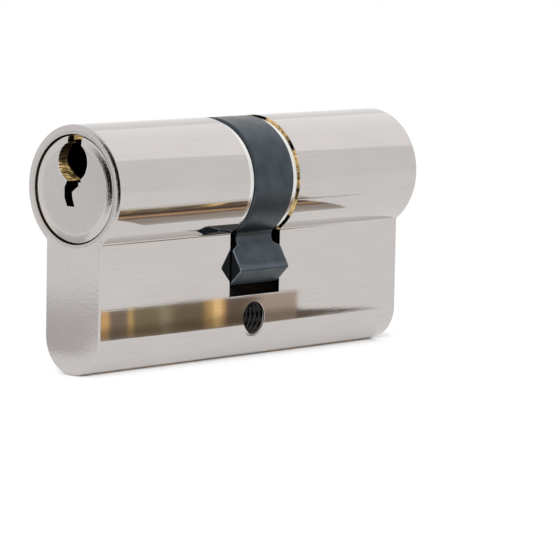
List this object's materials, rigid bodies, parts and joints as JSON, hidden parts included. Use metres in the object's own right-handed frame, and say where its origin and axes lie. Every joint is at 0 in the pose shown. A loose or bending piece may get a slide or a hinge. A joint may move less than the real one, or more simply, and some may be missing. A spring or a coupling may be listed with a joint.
{
  "type": "euro profile lock cylinder",
  "caption": "Double euro-profile lock cylinder with a keyed plug at each end, pin tumblers, a sliding clutch and a central cam whose lever throws the bolt.",
  "frame": {"origin": "centre of the fixing-screw hole, at mid-length and mid-thickness of the stem", "axes": "+X along the barrel to the rear end, +Z from the stem up to the barrel, Y through the thickness along the fixing-screw hole; the barrel axis lies at z = 18.7 mm"},
  "size_m": [0.06, 0.017, 0.033],
  "materials": {
    "nickel_plated_brass": "satin nickel plate on an extruded brass body",
    "nickel_plated_plug": "turned and nickel plated, brass showing in the keyway",
    "phosphated_steel": "dark blue-grey phosphate coat, oiled",
    "zinc_plated_steel": "bright zinc plate on spring steel",
    "clutch_steel": "sintered steel, plain",
    "bare_brass": "bare brass, ground flush",
    "pin_brass": "bare turned brass",
    "spring_steel": "bright spring steel wire"
  },
  "bodies": {
    "housing": {"housing": "nickel_plated_brass", "front_chamber_plugs": "bare_brass", "rear_chamber_plugs": "bare_brass", "front_pin_spring_1": "spring_steel", "front_pin_spring_2": "spring_steel", "front_pin_spring_3": "spring_steel", "front_pin_spring_4": "spring_steel", "front_pin_spring_5": "spring_steel", "rear_pin_spring_1": "spring_steel", "rear_pin_spring_2": "spring_steel", "rear_pin_spring_3": "spring_steel", "rear_pin_spring_4": "spring_steel", "rear_pin_spring_5": "spring_steel"},
    "front_plug": {"front_plug": "nickel_plated_plug", "front_retaining_ring": "zinc_plated_steel"},
    "rear_plug": {"rear_plug": "nickel_plated_plug", "rear_retaining_ring": "zinc_plated_steel"},
    "cam": {"cam": "phosphated_steel"},
    "front_clutch": {"front_clutch": "clutch_steel"},
    "rear_clutch": {"rear_clutch": "clutch_steel"},
    "front_key_pin_1": {"front_key_pin_1": "pin_brass"},
    "front_driver_pin_1": {"front_driver_pin_1": "pin_brass"},
    "front_key_pin_2": {"front_key_pin_2": "pin_brass"},
    "front_driver_pin_2": {"front_driver_pin_2": "pin_brass"},
    "front_key_pin_3": {"front_key_pin_3": "pin_brass"},
    "front_driver_pin_3": {"front_driver_pin_3": "pin_brass"},
    "front_key_pin_4": {"front_key_pin_4": "pin_brass"},
    "front_driver_pin_4": {"front_driver_pin_4": "pin_brass"},
    "front_key_pin_5": {"front_key_pin_5": "pin_brass"},
    "front_driver_pin_5": {"front_driver_pin_5": "pin_brass"},
    "rear_key_pin_1": {"rear_key_pin_1": "pin_brass"},
    "rear_driver_pin_1": {"rear_driver_pin_1": "pin_brass"},
    "rear_key_pin_2": {"rear_key_pin_2": "pin_brass"},
    "rear_driver_pin_2": {"rear_driver_pin_2": "pin_brass"},
    "rear_key_pin_3": {"rear_key_pin_3": "pin_brass"},
    "rear_driver_pin_3": {"rear_driver_pin_3": "pin_brass"},
    "rear_key_pin_4": {"rear_key_pin_4": "pin_brass"},
    "rear_driver_pin_4": {"rear_driver_pin_4": "pin_brass"},
    "rear_key_pin_5": {"rear_key_pin_5": "pin_brass"},
    "rear_driver_pin_5": {"rear_driver_pin_5": "pin_brass"}
  },
  "joints": [
    {"name": "front_plug_turn", "type": "hinge", "parent": "housing", "child": "front_plug", "pos_m": [0, 0, 0.0187], "axis": [1, 0, 0], "continuous": true},
    {"name": "cam_turn", "type": "hinge", "parent": "housing", "child": "cam", "pos_m": [0, 0, 0.0187], "axis": [1, 0, 0], "continuous": true},
    {"name": "rear_plug_turn", "type": "hinge", "parent": "housing", "child": "rear_plug", "pos_m": [0, 0, 0.0187], "axis": [1, 0, 0], "continuous": true},
    {"name": "clutch_shift", "type": "slide", "parent": "front_plug", "child": "front_clutch", "axis": [-1, 0, 0], "range_m": [0, 0.00195]},
    {"name": "rear_clutch_shift", "type": "slide", "parent": "rear_plug", "child": "rear_clutch", "axis": [-1, 0, 0], "range_m": [0, 0.00195]},
    {"name": "front_key_pin_1_rise", "type": "slide", "parent": "front_plug", "child": "front_key_pin_1", "axis": [0, 0, 1], "range_m": [0, 0.000935]},
    {"name": "front_driver_pin_1_drop", "type": "slide", "parent": "housing", "child": "front_driver_pin_1", "axis": [0, 0, 1], "range_m": [-0.0025, 0], "stiffness_N_per_m": 5, "springref_m": 0.0015, "deforming": ["front_pin_spring_1"]},
    {"name": "front_key_pin_2_rise", "type": "slide", "parent": "front_plug", "child": "front_key_pin_2", "axis": [0, 0, 1], "range_m": [0, 0.00194]},
    {"name": "front_driver_pin_2_drop", "type": "slide", "parent": "housing", "child": "front_driver_pin_2", "axis": [0, 0, 1], "range_m": [-0.0025, 0], "stiffness_N_per_m": 5, "springref_m": 0.0015, "deforming": ["front_pin_spring_2"]},
    {"name": "front_key_pin_3_rise", "type": "slide", "parent": "front_plug", "child": "front_key_pin_3", "axis": [0, 0, 1], "range_m": [0, 0.000235]},
    {"name": "front_driver_pin_3_drop", "type": "slide", "parent": "housing", "child": "front_driver_pin_3", "axis": [0, 0, 1], "range_m": [-0.0025, 0], "stiffness_N_per_m": 5, "springref_m": 0.0015, "deforming": ["front_pin_spring_3"]},
    {"name": "front_key_pin_4_rise", "type": "slide", "parent": "front_plug", "child": "front_key_pin_4", "axis": [0, 0, 1], "range_m": [0, 0.00144]},
    {"name": "front_driver_pin_4_drop", "type": "slide", "parent": "housing", "child": "front_driver_pin_4", "axis": [0, 0, 1], "range_m": [-0.0025, 0], "stiffness_N_per_m": 5, "springref_m": 0.0015, "deforming": ["front_pin_spring_4"]},
    {"name": "front_key_pin_5_rise", "type": "slide", "parent": "front_plug", "child": "front_key_pin_5", "axis": [0, 0, 1], "range_m": [0, 0.000635]},
    {"name": "front_driver_pin_5_drop", "type": "slide", "parent": "housing", "child": "front_driver_pin_5", "axis": [0, 0, 1], "range_m": [-0.0025, 0], "stiffness_N_per_m": 5, "springref_m": 0.0015, "deforming": ["front_pin_spring_5"]},
    {"name": "rear_key_pin_1_rise", "type": "slide", "parent": "rear_plug", "child": "rear_key_pin_1", "axis": [0, 0, 1], "range_m": [0, 0.000935]},
    {"name": "rear_driver_pin_1_drop", "type": "slide", "parent": "housing", "child": "rear_driver_pin_1", "axis": [0, 0, 1], "range_m": [-0.0025, 0], "stiffness_N_per_m": 5, "springref_m": 0.0015, "deforming": ["rear_pin_spring_1"]},
    {"name": "rear_key_pin_2_rise", "type": "slide", "parent": "rear_plug", "child": "rear_key_pin_2", "axis": [0, 0, 1], "range_m": [0, 0.00194]},
    {"name": "rear_driver_pin_2_drop", "type": "slide", "parent": "housing", "child": "rear_driver_pin_2", "axis": [0, 0, 1], "range_m": [-0.0025, 0], "stiffness_N_per_m": 5, "springref_m": 0.0015, "deforming": ["rear_pin_spring_2"]},
    {"name": "rear_key_pin_3_rise", "type": "slide", "parent": "rear_plug", "child": "rear_key_pin_3", "axis": [0, 0, 1], "range_m": [0, 0.000235]},
    {"name": "rear_driver_pin_3_drop", "type": "slide", "parent": "housing", "child": "rear_driver_pin_3", "axis": [0, 0, 1], "range_m": [-0.0025, 0], "stiffness_N_per_m": 5, "springref_m": 0.0015, "deforming": ["rear_pin_spring_3"]},
    {"name": "rear_key_pin_4_rise", "type": "slide", "parent": "rear_plug", "child": "rear_key_pin_4", "axis": [0, 0, 1], "range_m": [0, 0.00144]},
    {"name": "rear_driver_pin_4_drop", "type": "slide", "parent": "housing", "child": "rear_driver_pin_4", "axis": [0, 0, 1], "range_m": [-0.0025, 0], "stiffness_N_per_m": 5, "springref_m": 0.0015, "deforming": ["rear_pin_spring_4"]},
    {"name": "rear_key_pin_5_rise", "type": "slide", "parent": "rear_plug", "child": "rear_key_pin_5", "axis": [0, 0, 1], "range_m": [0, 0.000635]},
    {"name": "rear_driver_pin_5_drop", "type": "slide", "parent": "housing", "child": "rear_driver_pin_5", "axis": [0, 0, 1], "range_m": [-0.0025, 0], "stiffness_N_per_m": 5, "springref_m": 0.0015, "deforming": ["rear_pin_spring_5"]}
  ],
  "couplings": [
    {"joint": "cam_turn", "follows": "front_plug_turn", "ratio": 1},
    {"joint": "rear_clutch_shift", "follows": "clutch_shift", "ratio": 1}
  ]
}
